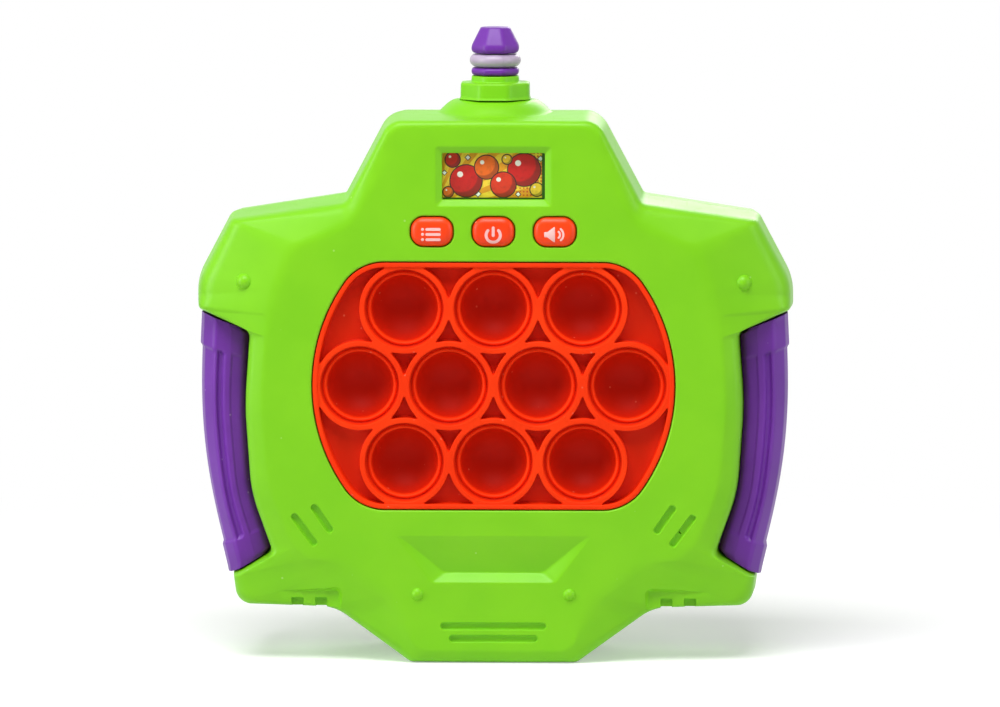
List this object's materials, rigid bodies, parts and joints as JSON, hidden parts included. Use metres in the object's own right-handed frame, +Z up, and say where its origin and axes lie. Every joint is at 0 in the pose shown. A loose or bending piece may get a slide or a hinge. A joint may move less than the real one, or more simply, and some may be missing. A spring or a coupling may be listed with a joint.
{
  "type": "electronic bubble pop game",
  "caption": "Handheld electronic press-the-bubble game: two-part green case with purple side grips, red push-through bubble pad, three buttons, picture window and a beacon on its head.",
  "frame": {"origin": "centre of the box round the toy at its flat base, where it stands", "axes": "+Z up to the beacon, -Y out of the face with the bubbles, +X to the right seen from the front"},
  "size_m": [0.1618, 0.0458, 0.171],
  "materials": {
    "green_plastic": "bright green moulded plastic, satin",
    "purple_plastic": "purple moulded plastic, satin gloss",
    "red_silicone": "matt silicone",
    "orange_plastic": "orange-red moulded plastic, satin",
    "milky_plastic": "milky light-passing plastic",
    "printed_card": "printed card, amber with red and yellow shapes",
    "white_plastic": "white moulded plastic",
    "circuit_board": "green solder mask",
    "plated_steel": "nickel-plated steel",
    "battery_jacket": "plain dark jacket",
    "speaker_plastic": "dark plastic basket"
  },
  "bodies": {
    "case": {"front_shell": "green_plastic", "rear_shell": "green_plastic", "right_grip": "purple_plastic", "left_grip": "purple_plastic", "bubble_pad": "red_silicone", "key_tray": "white_plastic", "main_board": "circuit_board", "picture_card": "printed_card", "beacon_collar": "green_plastic", "beacon_lower_ring": "purple_plastic", "beacon_light_ring": "milky_plastic", "beacon_cap": "purple_plastic", "case_screw_1": "plated_steel", "case_screw_2": "plated_steel", "case_screw_3": "plated_steel", "case_screw_4": "plated_steel", "battery_1": "battery_jacket", "battery_2": "battery_jacket", "battery_3": "battery_jacket", "upper_contact": "plated_steel", "lower_contact": "plated_steel", "speaker": "speaker_plastic", "bubble_wall_1": "red_silicone", "bubble_wall_2": "red_silicone", "bubble_wall_3": "red_silicone", "bubble_wall_4": "red_silicone", "bubble_wall_5": "red_silicone", "bubble_wall_6": "red_silicone", "bubble_wall_7": "red_silicone", "bubble_wall_8": "red_silicone", "bubble_wall_9": "red_silicone", "bubble_wall_10": "red_silicone"},
    "bubble_1": {"bubble_crown_1": "red_silicone"},
    "bubble_2": {"bubble_crown_2": "red_silicone"},
    "bubble_3": {"bubble_crown_3": "red_silicone"},
    "bubble_4": {"bubble_crown_4": "red_silicone"},
    "bubble_5": {"bubble_crown_5": "red_silicone"},
    "bubble_6": {"bubble_crown_6": "red_silicone"},
    "bubble_7": {"bubble_crown_7": "red_silicone"},
    "bubble_8": {"bubble_crown_8": "red_silicone"},
    "bubble_9": {"bubble_crown_9": "red_silicone"},
    "bubble_10": {"bubble_crown_10": "red_silicone"},
    "key_1": {"key_cap_1": "white_plastic"},
    "key_2": {"key_cap_2": "white_plastic"},
    "key_3": {"key_cap_3": "white_plastic"},
    "key_4": {"key_cap_4": "white_plastic"},
    "key_5": {"key_cap_5": "white_plastic"},
    "key_6": {"key_cap_6": "white_plastic"},
    "key_7": {"key_cap_7": "white_plastic"},
    "key_8": {"key_cap_8": "white_plastic"},
    "key_9": {"key_cap_9": "white_plastic"},
    "key_10": {"key_cap_10": "white_plastic"},
    "menu_push": {"menu_button": "orange_plastic"},
    "power_push": {"power_button": "orange_plastic"},
    "sound_push": {"sound_button": "orange_plastic"},
    "battery_cover": {"battery_door": "green_plastic", "door_screw": "plated_steel"}
  },
  "joints": [
    {"name": "bubble_pop_1", "type": "slide", "parent": "case", "child": "bubble_1", "axis": [0, -1, 0], "range_m": [0, 0.015], "deforming": ["bubble_wall_1"]},
    {"name": "bubble_pop_2", "type": "slide", "parent": "case", "child": "bubble_2", "axis": [0, -1, 0], "range_m": [0, 0.015], "deforming": ["bubble_wall_2"]},
    {"name": "bubble_pop_3", "type": "slide", "parent": "case", "child": "bubble_3", "axis": [0, -1, 0], "range_m": [0, 0.015], "deforming": ["bubble_wall_3"]},
    {"name": "bubble_pop_4", "type": "slide", "parent": "case", "child": "bubble_4", "axis": [0, -1, 0], "range_m": [0, 0.015], "deforming": ["bubble_wall_4"]},
    {"name": "bubble_pop_5", "type": "slide", "parent": "case", "child": "bubble_5", "axis": [0, -1, 0], "range_m": [0, 0.015], "deforming": ["bubble_wall_5"]},
    {"name": "bubble_pop_6", "type": "slide", "parent": "case", "child": "bubble_6", "axis": [0, -1, 0], "range_m": [0, 0.015], "deforming": ["bubble_wall_6"]},
    {"name": "bubble_pop_7", "type": "slide", "parent": "case", "child": "bubble_7", "axis": [0, -1, 0], "range_m": [0, 0.015], "deforming": ["bubble_wall_7"]},
    {"name": "bubble_pop_8", "type": "slide", "parent": "case", "child": "bubble_8", "axis": [0, -1, 0], "range_m": [0, 0.015], "deforming": ["bubble_wall_8"]},
    {"name": "bubble_pop_9", "type": "slide", "parent": "case", "child": "bubble_9", "axis": [0, -1, 0], "range_m": [0, 0.015], "deforming": ["bubble_wall_9"]},
    {"name": "bubble_pop_10", "type": "slide", "parent": "case", "child": "bubble_10", "axis": [0, -1, 0], "range_m": [0, 0.015], "deforming": ["bubble_wall_10"]},
    {"name": "key_press_1", "type": "slide", "parent": "case", "child": "key_1", "axis": [0, 1, 0], "range_m": [0, 0.0005], "stiffness_N_per_m": 800, "springref_m": -0.0005},
    {"name": "key_press_2", "type": "slide", "parent": "case", "child": "key_2", "axis": [0, 1, 0], "range_m": [0, 0.0005], "stiffness_N_per_m": 800, "springref_m": -0.0005},
    {"name": "key_press_3", "type": "slide", "parent": "case", "child": "key_3", "axis": [0, 1, 0], "range_m": [0, 0.0005], "stiffness_N_per_m": 800, "springref_m": -0.0005},
    {"name": "key_press_4", "type": "slide", "parent": "case", "child": "key_4", "axis": [0, 1, 0], "range_m": [0, 0.0005], "stiffness_N_per_m": 800, "springref_m": -0.0005},
    {"name": "key_press_5", "type": "slide", "parent": "case", "child": "key_5", "axis": [0, 1, 0], "range_m": [0, 0.0005], "stiffness_N_per_m": 800, "springref_m": -0.0005},
    {"name": "key_press_6", "type": "slide", "parent": "case", "child": "key_6", "axis": [0, 1, 0], "range_m": [0, 0.0005], "stiffness_N_per_m": 800, "springref_m": -0.0005},
    {"name": "key_press_7", "type": "slide", "parent": "case", "child": "key_7", "axis": [0, 1, 0], "range_m": [0, 0.0005], "stiffness_N_per_m": 800, "springref_m": -0.0005},
    {"name": "key_press_8", "type": "slide", "parent": "case", "child": "key_8", "axis": [0, 1, 0], "range_m": [0, 0.0005], "stiffness_N_per_m": 800, "springref_m": -0.0005},
    {"name": "key_press_9", "type": "slide", "parent": "case", "child": "key_9", "axis": [0, 1, 0], "range_m": [0, 0.0005], "stiffness_N_per_m": 800, "springref_m": -0.0005},
    {"name": "key_press_10", "type": "slide", "parent": "case", "child": "key_10", "axis": [0, 1, 0], "range_m": [0, 0.0005], "stiffness_N_per_m": 800, "springref_m": -0.0005},
    {"name": "menu_button_press", "type": "slide", "parent": "case", "child": "menu_push", "axis": [0, 1, 0], "range_m": [0, 0.0008], "stiffness_N_per_m": 600, "springref_m": -0.0005},
    {"name": "power_button_press", "type": "slide", "parent": "case", "child": "power_push", "axis": [0, 1, 0], "range_m": [0, 0.0008], "stiffness_N_per_m": 600, "springref_m": -0.0005},
    {"name": "sound_button_press", "type": "slide", "parent": "case", "child": "sound_push", "axis": [0, 1, 0], "range_m": [0, 0.0008], "stiffness_N_per_m": 600, "springref_m": -0.0005},
    {"name": "battery_door_lift", "type": "slide", "parent": "case", "child": "battery_cover", "axis": [0, 1, 0], "range_m": [0, 0.03]}
  ]
}
